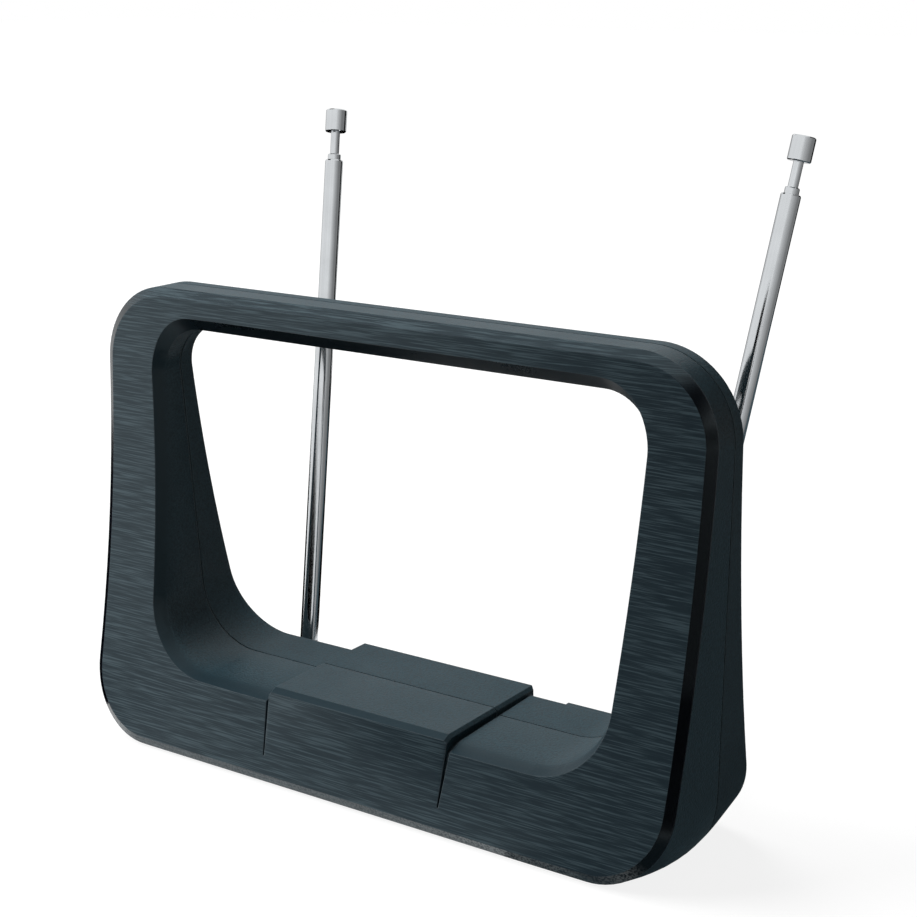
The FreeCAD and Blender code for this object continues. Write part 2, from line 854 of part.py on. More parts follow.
def build():
    housing = housing_form()
    hollow = hollow_form(wall)
    groove = housing.common(seam_slab(-groove_width / 2, groove_width / 2)).cut(hollow_form(groove_depth))
    cased = housing.cut(groove)
    pieces = {"front_shell": front_shell(cased, hollow), "rear_shell": rear_shell(cased, hollow)}
    for piece in (feet, case_screws, uhf_loop, matching_board, board_screws, balun_core, balun_winding,
                  coupling_capacitors, coax_socket, socket_insulator, socket_washer, socket_nut):
        pieces[piece.__name__] = piece()
    for name, side in (("left", -1), ("right", 1)):
        for piece in (spindle_contact, rod_lead, spring_washer, spindle_nut, swivel_fork, tilt_screw,
                      tilt_nut, rod_lug, outer_tube, middle_tube, tip_rod, tip_cap):
            pieces[piece.__name__ + "_" + name] = piece(side)
    extents = [shape.optimalBoundingBox(True, False) for shape in pieces.values()]
    middle = (min(b.YMin for b in extents) + max(b.YMax for b in extents)) / 2
    for name, shape in pieces.items():
        shape.translate(V(0, -middle, 0))
        shape.exportStep("parts/" + name + ".step")


build()
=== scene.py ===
import json
import math

import bpy
from bpy.props import FloatProperty, FloatVectorProperty, PointerProperty
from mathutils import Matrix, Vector


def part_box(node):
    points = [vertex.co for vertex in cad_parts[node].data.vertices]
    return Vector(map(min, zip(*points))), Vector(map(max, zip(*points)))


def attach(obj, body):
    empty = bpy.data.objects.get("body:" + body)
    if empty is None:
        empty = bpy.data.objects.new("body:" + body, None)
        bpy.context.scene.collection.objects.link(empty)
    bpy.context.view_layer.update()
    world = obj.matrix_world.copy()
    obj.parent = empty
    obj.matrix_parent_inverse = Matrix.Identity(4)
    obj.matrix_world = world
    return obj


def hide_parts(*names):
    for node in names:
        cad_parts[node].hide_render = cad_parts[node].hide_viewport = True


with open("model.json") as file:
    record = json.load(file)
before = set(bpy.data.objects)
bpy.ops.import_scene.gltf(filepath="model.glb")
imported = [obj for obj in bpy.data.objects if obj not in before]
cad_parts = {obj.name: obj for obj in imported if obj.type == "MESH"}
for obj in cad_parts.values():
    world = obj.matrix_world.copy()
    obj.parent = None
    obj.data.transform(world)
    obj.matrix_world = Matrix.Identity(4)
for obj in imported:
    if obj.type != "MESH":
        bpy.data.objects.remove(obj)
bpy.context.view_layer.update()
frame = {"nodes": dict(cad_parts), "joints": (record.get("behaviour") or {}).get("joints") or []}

bl_info = {
    "name": "Indoor Antenna",
    "version": (1, 0, 0),
    "blender": (4, 5, 0),
    "location": "View3D > Sidebar > Antenna",
    "description": "Housing, finishes and studio for an indoor antenna with two telescopic rods",
    "category": "Object",
}

NODES = frame["nodes"]
SIDES = ("left", "right")

# Normals of the front shell that count as each part of it, from 0 at the first value to 1 at the second.
FACE_Y = (-0.905, -0.955)
BEVEL_Y = (-0.14, -0.26)
RIM_Y = (-0.60, -0.74)
# UPPER_Z picks where the outer bevel faces up. There it is painted lighter with the face colour: painted
# light from above.
UPPER_Z = (0.34, 0.50)
UNDER_Z = (-0.12, -0.36)
SIDE_X = (0.75, 0.95)
# Height at which the pale painted reflection of the floor on the lower bevel has gone and is full.
PAINTED_REFLECTION_HEIGHT = (0.040, 0.020)

# Roughness of the shells, at the low and the high end of the noise that varies it.
ROUGH_FRONT = (0.42, 0.56)
ROUGH_REAR = (0.50, 0.64)
ROUGH_SIDE = (0.32, 0.38)
ROUGH_RIM = (0.18, 0.24)
ROUGH_FACE = (0.46, 0.32)
CLOUD_SIZE = 0.035
EDGE_REACH = 0.16

# Height of the marks on the shells, as shares of the bump's depth.
GRAIN_HEIGHT = 4.0
BEVEL_HEIGHT = 0.15
STREAK_HEIGHT = 1.6
SHELL_BUMP = (0.35, 0.00012)
BROAD_SHARE = 0.75
HAIR_LENGTH = 0.6

# Marks on a drawn tube, in widths of one line.
LINE_LENGTH = 260.0
RING_WIDTH = 60.0
RING_PITCH = 1.4
HAZE_SIZE = 0.012

# Where the walls of the lower corners are cut across along Y, and how far round, in corner radii.
FRONT_CUTS = (-0.057, -0.053, -0.048, -0.043, -0.038, -0.033)
REAR_CUTS = (-0.025, -0.020, -0.015, -0.010)
CUT_ACROSS = 1.4
CUT_UP = 1.2
# Power that brings the fullest place of the lower corners in front of the seam.
CROWN_LEAN = 0.8
# Normals along Y of the face and of the window's bevel beside it.
FACE_NORMAL = -0.93
BEVEL_NORMALS = (-0.62, -0.12)
MERGE_REACH = 1e-6
SMOOTH_ANGLE = math.radians(22.0)

# Cards that the shiny surfaces mirror: name, corner, two sides and tone.
CARDS = (
    ("front_flag", (-0.60, -1.00, 0.0), (1.60, 0.0, 0.0), (0.0, 0.0, 0.33), "black"),
    ("low_flag", (0.02, -0.20, 0.0), (0.28, 0.0, 0.0), (0.0, 0.0, 0.05), "black"),
    ("right_flag", (0.44, -0.30, 0.0), (0.0, 0.90, 0.0), (0.0, 0.0, 0.90), "right"),
    ("right_top_flag", (0.44, -0.60, 0.20), (0.0, 0.30, 0.0), (0.0, 0.0, 0.70), "right"),
    ("left_side_flag", (-0.62, 0.05, 0.0), (0.0, 0.70, 0.0), (0.0, 0.0, 0.30), "left"),
    ("back_flag", (0.02, 0.60, 0.0), (0.42, 0.0, 0.0), (0.0, 0.0, 0.90), "black"),
    ("corner_flag", (0.085, -0.10, 0.150), (0.065, 0.0, 0.0), (0.0, 0.0, 0.045), "black"),
    ("rear_flag", (-0.95, 0.75, 0.0), (0.97, 0.0, 0.0), (0.0, 0.0, 0.40), "grey"),
    ("left_flag", (-0.95, -0.10, 0.80), (0.60, 0.0, 0.0), (0.0, 0.55, 0.0), "black"),
    ("front_cloth", (-0.10, -0.12, 0.0), (1.00, 0.0, 0.0), (-0.45, -0.88, 0.0), "black"),
    ("right_cloth", (0.06, -0.11, 0.0), (0.38, 0.0, 0.0), (0.0, 0.71, 0.0), "dim"),
    ("bar_cloth", (-0.20, -0.01, 0.0), (0.26, 0.0, 0.0), (0.0, 0.055, 0.0), "black"),
    ("back_cloth", (-0.60, 0.08, 0.0), (0.66, 0.0, 0.0), (0.0, 0.52, 0.0), "black"),
    ("left_cloth", (-1.05, -0.14, 0.0), (0.92, 0.0, 0.0), (0.0, 0.22, 0.0), "black"),
)

# How bright the floor shows near the part and far from it, and the distances between which it changes.
FLOOR_GLOW = (0.86, 1.0)
FLOOR_FADE = (0.35, 0.9)
FLOOR_SHADE = 0.22
FLOOR_DROP = 0.0002


def colour(name, description, default):
    return FloatVectorProperty(
        name=name, description=description, subtype="COLOR", size=3, min=0.0, max=1.0, default=default)


def length(name, description, default):
    return FloatProperty(name=name, description=description, unit="LENGTH", min=0.0, default=default)


class AntennaShellSettings(bpy.types.PropertyGroup):
    """Finish of the two housing shells."""

    face_dark: colour("Face troughs", "Brushed front face between the streaks", (0.007, 0.016, 0.023))
    face_light: colour("Face streaks", "Brushed front face on the streaks", (0.042, 0.066, 0.079))
    moulded: colour("Moulded wall", "Moulded walls behind the front face", (0.018, 0.043, 0.056))
    moulded_dark: colour("Moulded pores", "Pores of the moulded grain", (0.006, 0.015, 0.021))
    bevel: colour("Window bevel", "Bevels round the window and the block", (0.006, 0.017, 0.024))
    rim: colour("Outer bevel", "Polished bevel round the outside of the face", (0.0012, 0.0020, 0.0040))
    sheen: colour("Sheen", "Tint of what the shells mirror", (0.80, 0.95, 1.0))
    # Pale colour of the lower bevel: a painted reflection of the floor beneath it.
    under: colour("Lower bevel", "Lower bevel, rubbed pale by the table", (0.360, 0.385, 0.390))
    # Lighter edge colour: a painted highlight where rounded edges catch the light.
    edge: colour("Painted edge highlight", "Edges that are rubbed a little lighter", (0.085, 0.105, 0.118))
    streak_length: length("Streak length", "Length of a brushed streak", 0.020)
    streak_pitch: length("Streak pitch", "Distance between broad streaks", 0.00048)
    hair_pitch: length("Hairline pitch", "Distance between fine hairlines", 0.00022)
    grain_size: length("Grain size", "Size of the moulded grain", 0.00070)
    edge_round: length("Edge radius", "Radius that moulding leaves on an edge", 0.00045)


class AntennaFormSettings(bpy.types.PropertyGroup):
    """Forms that the two housing shells get on top of the solids."""

    corner_x: length("Corner width", "Half the width of the base at its corners", 0.115)
    corner_r: length("Corner radius", "Radius of the base's lower corners", 0.0259)
    corner_crown: length("Corner crown", "How far the lower corners stand out between the rims", 0.0035)
    rim_front: FloatProperty(
        name="Front rim", description="Where the wall starts at the floor", unit="LENGTH", default=-0.0621)
    rim_front_lean: FloatProperty(
        name="Front lean", description="How the front rim leans back with height", default=0.235)
    rim_rear: FloatProperty(
        name="Rear rim", description="Where the wall ends at the floor", unit="LENGTH", default=-0.003)
    rim_rear_lean: FloatProperty(
        name="Rear lean", description="How the rear rim leans forward with height", default=-0.20)
    bar_bevel: length("Bar bevel", "How far the bevel under the top bar goes up the face", 0.0026)
    bar_fade: length("Bar bevel fade", "Height over which that bevel fades into the posts", 0.019)
    bar_half: length("Bar half width", "Half the width of the window with its bevel", 0.105)


class AntennaMetalSettings(bpy.types.PropertyGroup):
    """Finish of the rods, swivels, screws and coax socket."""

    chrome: colour("Rod chrome", "Polished plating of the telescopic rods", (0.665, 0.690, 0.710))
    swivel: colour("Swivel plating", "Plated castings at the rods' feet", (0.47, 0.48, 0.50))
    zinc: colour("Zinc", "Screws, nuts and spring washers", (0.46, 0.46, 0.47))
    nickel: colour("Nickel", "Coax socket, washer and nut", (0.62, 0.59, 0.53))
    draw_line: length("Draw line width", "Width of the fine lines along a drawn tube", 0.00035)


class AntennaStageSettings(bpy.types.PropertyGroup):
    """Studio round the antenna."""

    camera_place: FloatVectorProperty(
        name="Camera", description="Where the camera stands", subtype="TRANSLATION", unit="LENGTH", size=3,
        default=(0.340766, -0.497708, 0.266168))
    camera_aim: FloatVectorProperty(
        name="Aim", description="Point in the middle of the picture", subtype="TRANSLATION", unit="LENGTH",
        size=3, default=(0.024498, -0.033974, 0.115353))
    camera_lens: FloatProperty(
        name="Lens", description="Focal length on a 36 mm sensor, in millimetres", min=1.0, default=72.94)
    floor_size: length("Floor", "Width of the floor", 12.0)
    floor: colour("Floor colour", "Pale floor", (0.50, 0.50, 0.50))
    ambient: FloatProperty(
        name="Ambient", description="Light that comes from all round", min=0.0, max=1.0, default=0.06)
    key_power: FloatProperty(
        name="Key", description="Softbox at the left", min=0.0, unit="POWER", default=7.0)
    top_power: FloatProperty(
        name="Top", description="Softbox overhead", min=0.0, unit="POWER", default=13.0)


class Recipe:
    """A material's node tree, built one node at a time."""

    def __init__(self, name):
        self.material = bpy.data.materials.new(name)
        self.material.use_nodes = True
        self.tree = self.material.node_tree
        self.shader = self.tree.nodes["Principled BSDF"]
        self.coords = self.add("TexCoord")

    def set(self, node, sockets):
        for key, value in sockets.items():
            socket = node.inputs[key]
            if isinstance(value, bpy.types.NodeSocket):
                self.tree.links.new(value, socket)
            else:
                socket.default_value = value

    def add(self, kind, sockets=None, **settings):
        node = self.tree.nodes.new("ShaderNode" + kind)
        for key, value in settings.items():
            setattr(node, key, value)
        self.set(node, sockets or {})
        return node

    def finish(self, **sockets):
        self.set(self.shader, {key.replace("_", " "): value for key, value in sockets.items()})

    def math(self, operation, a, b=0.0):
        return self.add("Math", {0: a, 1: b}, operation=operation).outputs[0]

    def ramp(self, value, low, high, to_low=0.0, to_high=1.0, smooth=False):
        kind = "SMOOTHSTEP" if smooth else "LINEAR"
        return self.add("MapRange", {
            "Value": value, "From Min": low, "From Max": high, "To Min": to_low, "To Max": to_high,
        }, interpolation_type=kind).outputs["Result"]

    def blend(self, factor, a, b):
        mix = self.add("Mix", data_type="RGBA")
        self.set(mix, {0: factor, 6: a, 7: b})
        return mix.outputs[2]

    def mixed(self, factor, a, b):
        mix = self.add("Mix", data_type="FLOAT")
        self.set(mix, {0: factor, 2: a, 3: b})
        return mix.outputs[0]

    def speckle(self, size, detail):
        """Fine even noise of that size."""
        return self.add("TexNoise", {
            "Vector": self.coords.outputs["Object"], "Scale": 1.0 / size, "Detail": detail,
            "Roughness": 0.5,
        }).outputs[0]

    def drawn(self, step, turn=(0.0, 0.0, 0.0), place=(0.0, 0.0, 0.0), detail=3.0, waver=0.0):
        """Noise stretched by a size along each axis of a turned frame."""
        local = self.add("Mapping", {
            "Vector": self.coords.outputs["Object"], "Location": place, "Rotation": turn,
        }, vector_type="TEXTURE")
        scaled = self.add("Mapping", {
            "Vector": local.outputs["Vector"], "Scale": tuple(1.0 / s if s else 0.0 for s in step),
        })
        return self.add("TexNoise", {
            "Vector": scaled.outputs["Vector"], "Scale": 1.0, "Detail": detail, "Roughness": 0.6,
            "Distortion": waver,
        }).outputs[0]

    def rounded(self, radius):
        return self.add("Bevel", {"Radius": radius}, samples=6).outputs["Normal"]

    def on_edge(self, normal, reach):
        """1 where the rounded normal leaves the face's own."""
        own = self.add("NewGeometry").outputs["Normal"]
        same = self.add("VectorMath", {0: normal, 1: own}, operation="DOT_PRODUCT").outputs["Value"]
        return self.ramp(same, 1.0, 1.0 - reach)

    def bump(self, height, strength, distance, normal):
        return self.add("Bump", {
            "Height": height, "Strength": strength, "Distance": distance, "Normal": normal,
        }).outputs["Normal"]


def rgba(value):
    return (value[0], value[1], value[2], 1.0)


def dress(material, *names):
    """Give CAD nodes a material in place of the plain one they come with."""
    for name in names:
        slots = NODES[name].material_slots
        if not slots:
            raise RuntimeError("no material slot on " + name)
        for slot in slots:
            slot.material = material


def both(name):
    return [name + "_" + side for side in SIDES]


def shell_finish(name, settings, brushed):
    """Moulded grain all over, with a brushed face and polished bevels where the shell looks forward."""
    mix = Recipe(name)
    grain = mix.speckle(settings.grain_size, 2.0)
    cloud = mix.speckle(CLOUD_SIZE, 3.0)
    normal = mix.rounded(settings.edge_round)
    edge = mix.on_edge(normal, EDGE_REACH)
    tint = mix.blend(mix.ramp(grain, 0.32, 0.62), rgba(settings.moulded_dark), rgba(settings.moulded))
    rough = mix.ramp(mix.math("ADD", grain, cloud), 0.6, 1.4, *(ROUGH_FRONT if brushed else ROUGH_REAR))
    height = mix.math("MULTIPLY", grain, GRAIN_HEIGHT)
    if brushed:
        facing = mix.add("SeparateXYZ", {0: mix.coords.outputs["Normal"]}).outputs
        place = mix.add("SeparateXYZ", {0: mix.coords.outputs["Object"]}).outputs
        face = mix.ramp(facing["Y"], *FACE_Y, smooth=True)
        bevel = mix.ramp(facing["Y"], *BEVEL_Y, smooth=True)
        rim = mix.ramp(facing["Y"], *RIM_Y, smooth=True)
        # Painted light from above: the outer bevel where it faces up takes the lighter face colour.
        painted_top_light = mix.math("MULTIPLY", rim, mix.ramp(facing["Z"], *UPPER_Z, smooth=True))
        # Painted reflection of the floor: the outer bevel where it faces down, close to the floor.
        under = mix.math("MULTIPLY", rim, mix.ramp(facing["Z"], *UNDER_Z, smooth=True))
        under = mix.math("MULTIPLY", under, mix.ramp(place["Z"], *PAINTED_REFLECTION_HEIGHT))
        sideways = mix.ramp(mix.math("ABSOLUTE", facing["X"]), *SIDE_X, smooth=True)
        broad = mix.drawn((settings.streak_length, 0.0, settings.streak_pitch), detail=2.0, waver=0.3)
        hair = mix.drawn((settings.streak_length * HAIR_LENGTH, 0.0, settings.hair_pitch))
        streak = mix.mixed(BROAD_SHARE, hair, broad)
        lines = mix.ramp(streak, 0.46, 0.61, smooth=True)
        face_tint = mix.blend(lines, rgba(settings.face_dark), rgba(settings.face_light))
        pale = mix.math("MULTIPLY", under, mix.ramp(grain, 0.40, 0.56, 0.10, 1.0))
        tint = mix.blend(bevel, tint, rgba(settings.bevel))
        tint = mix.blend(rim, tint, rgba(settings.rim))
        # Pale painted reflection of the floor on the lower bevel, broken up by the grain.
        tint = mix.blend(pale, tint, rgba(settings.under))
        # The face colour goes on the face and, as painted light from above, on the upward-facing outer
        # bevel.
        tint = mix.blend(mix.math("MAXIMUM", face, painted_top_light), tint, face_tint)
        rough = mix.mixed(sideways, rough, mix.ramp(cloud, 0.3, 0.7, *ROUGH_SIDE))
        rough = mix.mixed(rim, rough, mix.ramp(cloud, 0.3, 0.7, *ROUGH_RIM))
        rough = mix.mixed(face, rough, mix.ramp(streak, 0.3, 0.7, *ROUGH_FACE))
        height = mix.mixed(bevel, height, mix.math("MULTIPLY", grain, BEVEL_HEIGHT))
        height = mix.mixed(face, height, mix.math("MULTIPLY", streak, STREAK_HEIGHT))
    # Painted highlight: the edges are lightened in the base colour, varied by the cloud.
    painted = mix.math("MULTIPLY", edge, mix.ramp(cloud, 0.35, 0.7, 0.40, 0.95))
    tint = mix.blend(painted, tint, rgba(settings.edge))
    mix.finish(Base_Color=tint, Roughness=rough, Normal=mix.bump(height, *SHELL_BUMP, normal),
               Specular_Tint=rgba(settings.sheen))
    return mix.material


def plain_finish(name, light, dark, size, rough, depth, metallic=0.0, stretch=(1.0, 1.0, 1.0)):
    """Two tones of one stuff, mottled at a size, with its own roughness and bump."""
    mix = Recipe(name)
    fine = mix.drawn(tuple(size * s for s in stretch))
    broad = mix.speckle(size * 14.0, 3.0)
    tone = mix.math("ADD", mix.math("MULTIPLY", fine, 0.6), mix.math("MULTIPLY", broad, 0.4))
    tint = mix.blend(mix.ramp(tone, 0.3, 0.7), rgba(dark), rgba(light))
    mix.finish(Base_Color=tint, Roughness=mix.ramp(tone, 0.3, 0.7, *rough), Metallic=metallic,
               Normal=mix.bump(fine, 0.3, depth, mix.rounded(0.00015)))
    return mix.material


def chrome_finish(name, tint, line, turn, place):
    """Polished plating with faint lines along the tube and a little haze where it is handled."""
    mix = Recipe(name)
    lines = mix.drawn((line, line, line * LINE_LENGTH), turn, place)
    rings = mix.drawn((line * RING_WIDTH, line * RING_WIDTH, line * RING_PITCH), turn, place, detail=2.0)
    haze = mix.speckle(HAZE_SIZE, 4.0)
    wear = mix.math("ADD", mix.math("MULTIPLY", lines, 0.5), mix.math("MULTIPLY", haze, 0.5))
    dull = tuple(c * 0.86 for c in tint)
    shade = mix.blend(mix.ramp(wear, 0.35, 0.65), rgba(dull), rgba(tint))
    rough = mix.ramp(wear, 0.3, 0.7, 0.16, 0.09)
    height = mix.math("ADD", mix.math("MULTIPLY", lines, 0.7), mix.math("MULTIPLY", rings, 0.3))
    mix.finish(Base_Color=shade, Roughness=rough, Metallic=1.0,
               Normal=mix.bump(height, 0.12, 0.00002, mix.rounded(0.0002)))
    return mix.material


def clear_selection():
    if bpy.context.object and bpy.context.object.mode != "OBJECT":
        bpy.ops.object.mode_set(mode="OBJECT")
    bpy.ops.object.select_all(action="DESELECT")


def select_alone(piece):
    clear_selection()
    piece.select_set(True)
    bpy.context.view_layer.objects.active = piece


def select_faces(piece, test):
    """Select, in edit mode, the faces whose middle meets the test."""
    bpy.ops.object.mode_set(mode="OBJECT")
    mesh = piece.data
    for part in (mesh.vertices, mesh.edges, mesh.polygons):
        part.foreach_set("select", [False] * len(part))
    for polygon in mesh.polygons:
        polygon.select = test(polygon.center)
    bpy.ops.object.mode_set(mode="EDIT")


def shell_copy(node, name, finish):
    """Closed copy of a shell that stands for it, to be reshaped."""
    piece = bpy.data.objects.new(name, NODES[node].data.copy())
    bpy.context.scene.collection.objects.link(piece)
    select_alone(piece)
    bpy.ops.object.mode_set(mode="EDIT")
    bpy.ops.mesh.select_all(action="SELECT")
    bpy.ops.mesh.remove_doubles(threshold=MERGE_REACH)
    bpy.ops.mesh.normals_make_consistent(inside=False)
    bpy.ops.mesh.customdata_custom_splitnormals_clear()
    bpy.ops.object.mode_set(mode="OBJECT")
    piece.data.materials.clear()
    piece.data.materials.append(finish)
    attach(piece, "base")
    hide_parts(node)
    return piece


def cut_corners(piece, form, cuts):
    """Cut the walls of the lower corners across, so that they can take a crown."""
    low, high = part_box("rear_shell")
    least_x = high.x - CUT_ACROSS * form.corner_r
    most_z = low.z + CUT_UP * form.corner_r
    for y in cuts:
        select_faces(piece, lambda place: abs(place.x) > least_x and place.z < most_z)
        bpy.ops.mesh.bisect(plane_co=(0.0, y, 0.0), plane_no=(0.0, 1.0, 0.0))
    bpy.ops.object.mode_set(mode="OBJECT")


def crown_corners(piece, form):
    """Push the lower corners out between the two rims, most a little in front of the seam."""
    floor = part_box("front_shell")[0].z
    centre_x = form.corner_x - form.corner_r
    centre_z = floor + form.corner_r
    for vertex in piece.data.vertices:
        x, y, z = vertex.co
        across, down = abs(x) - centre_x, centre_z - z
        front = form.rim_front + form.rim_front_lean * z
        rear = form.rim_rear + form.rim_rear_lean * z
        depth = (y - front) / (rear - front)
        if across <= 0.0 or down <= 0.0 or not 0.0 < depth < 1.0:
            continue
        round_share = math.sin(2.0 * math.atan2(down, across)) ** 2
        wall_share = min(1.0, math.hypot(across, down) / form.corner_r)
        depth_share = math.sin(math.pi * depth ** CROWN_LEAN)
        push = form.corner_crown * depth_share * round_share * wall_share / math.sqrt(2.0)
        vertex.co = (x + math.copysign(push, x), y, z - push)


def widen_bar_bevel(piece, form):
    """Carry the window bevel's front edge up the face of the top bar."""
    mesh = piece.data
    sides = {}
    for polygon in mesh.polygons:
        for key in polygon.edge_keys:
            sides.setdefault(key, []).append(polygon)
    normals = {}
    for key, pair in sides.items():
        face, bevel = sorted(pair, key=lambda polygon: polygon.normal.y)[:2]
        if face.normal.y < FACE_NORMAL and BEVEL_NORMALS[0] < bevel.normal.y < BEVEL_NORMALS[1]:
            for index in key:
                if abs(mesh.vertices[index].co.x) < form.bar_half:
                    normals[index] = face.normal.copy()
    top = max(mesh.vertices[index].co.z for index in normals)
    for index, normal in normals.items():
        x, y, z = mesh.vertices[index].co
        share = max(0.0, (z - top) / form.bar_fade + 1.0)
        lift = form.bar_bevel * share * share * (3.0 - 2.0 * share)
        mesh.vertices[index].co = (x, y - lift * normal.z / normal.y, z + lift)


def smooth_walls(piece):
    select_alone(piece)
    bpy.ops.object.shade_smooth_by_angle(angle=SMOOTH_ANGLE)


class ANTENNA_OT_front_shell(bpy.types.Operator):
    """Front shell with its brushed face, full lower corners and bevelled bar"""

    bl_idname = "antenna.front_shell"
    bl_label = "Front Shell"

    def execute(self, context):
        form = context.scene.antenna_form
        finish = shell_finish("brushed_slate", context.scene.antenna_shell, True)
        piece = shell_copy("front_shell", "front_housing", finish)
        cut_corners(piece, form, FRONT_CUTS)
        crown_corners(piece, form)
        widen_bar_bevel(piece, form)
        smooth_walls(piece)
        return {"FINISHED"}


class ANTENNA_OT_rear_shell(bpy.types.Operator):
    """Rear shell with its grained walls and full lower corners"""

    bl_idname = "antenna.rear_shell"
    bl_label = "Rear Shell"

    def execute(self, context):
        form = context.scene.antenna_form
        finish = shell_finish("moulded_slate", context.scene.antenna_shell, False)
        piece = shell_copy("rear_shell", "rear_housing", finish)
        cut_corners(piece, form, REAR_CUTS)
        crown_corners(piece, form)
        smooth_walls(piece)
        return {"FINISHED"}


class ANTENNA_OT_feet(bpy.types.Operator):
    """Rubber feet under the base"""

    bl_idname = "antenna.feet"
    bl_label = "Feet"

    def execute(self, context):
        rubber = plain_finish("foot_rubber", (0.030, 0.030, 0.031), (0.014, 0.014, 0.015), 0.0004,
                              (0.72, 0.9), 0.00008)
        dress(rubber, "feet")
        return {"FINISHED"}


class ANTENNA_OT_rods(bpy.types.Operator):
    """Chromed telescopic sections and caps"""

    bl_idname = "antenna.rods"
    bl_label = "Telescopic Rods"

    def execute(self, context):
        metal = context.scene.antenna_metal
        joints = {joint["name"]: joint for joint in frame["joints"]}
        for side in SIDES:
            along = Vector(joints["middle_slide_" + side]["axis"])
            turn = along.to_track_quat("Z", "Y").to_euler()
            place = joints["tilt_" + side]["pos_m"]
            plating = chrome_finish("rod_chrome_" + side, metal.chrome, metal.draw_line, turn, place)
            sections = ("outer_tube_", "middle_tube_", "tip_rod_", "tip_cap_")
            dress(plating, *(section + side for section in sections))
        return {"FINISHED"}


class ANTENNA_OT_swivels(bpy.types.Operator):
    """Plated forks and lugs at the rods' feet"""

    bl_idname = "antenna.swivels"
    bl_label = "Swivels"

    def execute(self, context):
        tint = context.scene.antenna_metal.swivel
        plated = plain_finish("swivel_plating", tint, tuple(c * 0.72 for c in tint), 0.0006,
                              (0.16, 0.32), 0.00004, metallic=1.0)
        dress(plated, *both("swivel_fork"), *both("rod_lug"))
        return {"FINISHED"}


class ANTENNA_OT_fasteners(bpy.types.Operator):
    """Zinc plated screws, nuts and spring washers"""

    bl_idname = "antenna.fasteners"
    bl_label = "Fasteners"

    def execute(self, context):
        tint = context.scene.antenna_metal.zinc
        zinc = plain_finish("zinc_plating", tint, tuple(c * 0.62 for c in tint), 0.00035,
                            (0.24, 0.44), 0.00003, metallic=1.0)
        names = ["case_screws", "board_screws"]
        for part in ("spring_washer", "spindle_nut", "tilt_screw", "tilt_nut"):
            names += both(part)
        dress(zinc, *names)
        return {"FINISHED"}


class ANTENNA_OT_coax_socket(bpy.types.Operator):
    """Threaded coax socket with its washer, nut and insulator"""

    bl_idname = "antenna.coax_socket"
    bl_label = "Coax Socket"

    def execute(self, context):
        metal = context.scene.antenna_metal
        nickel = plain_finish("nickel_plating", metal.nickel, tuple(c * 0.7 for c in metal.nickel), 0.0003,
                              (0.16, 0.34), 0.00003, metallic=1.0)
        white = plain_finish("socket_insulator", (0.82, 0.81, 0.78), (0.70, 0.69, 0.66), 0.0008,
                             (0.4, 0.6), 0.00003)
        dress(nickel, "coax_socket", "socket_washer", "socket_nut")
        dress(white, "socket_insulator")
        return {"FINISHED"}


class ANTENNA_OT_inside(bpy.types.Operator):
    """Loop strip, matching board, contacts and leads inside the housing"""

    bl_idname = "antenna.inside"
    bl_label = "Inside"

    def execute(self, context):
        strip = plain_finish("rolled_strip", (0.66, 0.66, 0.67), (0.50, 0.50, 0.51), 0.0003,
                             (0.28, 0.46), 0.00002, metallic=1.0, stretch=(1.0, 12.0, 1.0))
        board = plain_finish("solder_mask", (0.030, 0.130, 0.055), (0.018, 0.085, 0.035), 0.0012,
                             (0.3, 0.45), 0.00003)
        ferrite = plain_finish("ferrite", (0.075, 0.075, 0.080), (0.045, 0.045, 0.048), 0.0005,
                               (0.6, 0.8), 0.00005)
        copper = plain_finish("enamelled_copper", (0.62, 0.26, 0.11), (0.44, 0.17, 0.07), 0.0004,
                              (0.22, 0.36), 0.00002, metallic=1.0)
        dipped = plain_finish("dipped_capacitor", (0.46, 0.22, 0.06), (0.34, 0.15, 0.04), 0.0008,
                              (0.18, 0.3), 0.00004)
        brass = plain_finish("contact_brass", (0.70, 0.53, 0.24), (0.52, 0.38, 0.16), 0.0003,
                             (0.2, 0.38), 0.00002, metallic=1.0)
        sheath = plain_finish("lead_sheath", (0.035, 0.035, 0.037), (0.020, 0.020, 0.021), 0.0006,
                              (0.4, 0.55), 0.00003)
        dress(strip, "uhf_loop")
        dress(board, "matching_board")
        dress(ferrite, "balun_core")
        dress(copper, "balun_winding")
        dress(dipped, "coupling_capacitors")
        dress(brass, *both("spindle_contact"))
        dress(sheath, *both("rod_lead"))
        return {"FINISHED"}


def look_at(place, aim):
    return (Vector(aim) - Vector(place)).to_track_quat("-Z", "Y").to_euler()


def softbox(name, place, aim, size, power):
    bpy.ops.object.light_add(type="AREA", location=place, rotation=look_at(place, aim))
    lamp = bpy.context.object
    lamp.name = name
    lamp.data.shape = "RECTANGLE"
    lamp.data.size = size[0]
    lamp.data.size_y = size[1]
    lamp.data.energy = power
    lamp.visible_glossy = False


def flag(name, corner, across, up, material):
    """Card that only shiny surfaces see."""
    clear_selection()
    bpy.ops.mesh.primitive_plane_add(size=2.0)
    card = bpy.context.object
    a, b, c = Vector(corner), Vector(across), Vector(up)
    for vertex, place in zip(card.data.vertices, (a, a + b, a + c, a + b + c)):
        vertex.co = place
    card.name = name
    card.data.materials.append(material)
    card.visible_camera = False
    card.visible_diffuse = False
    card.visible_shadow = False
    card.visible_transmission = False


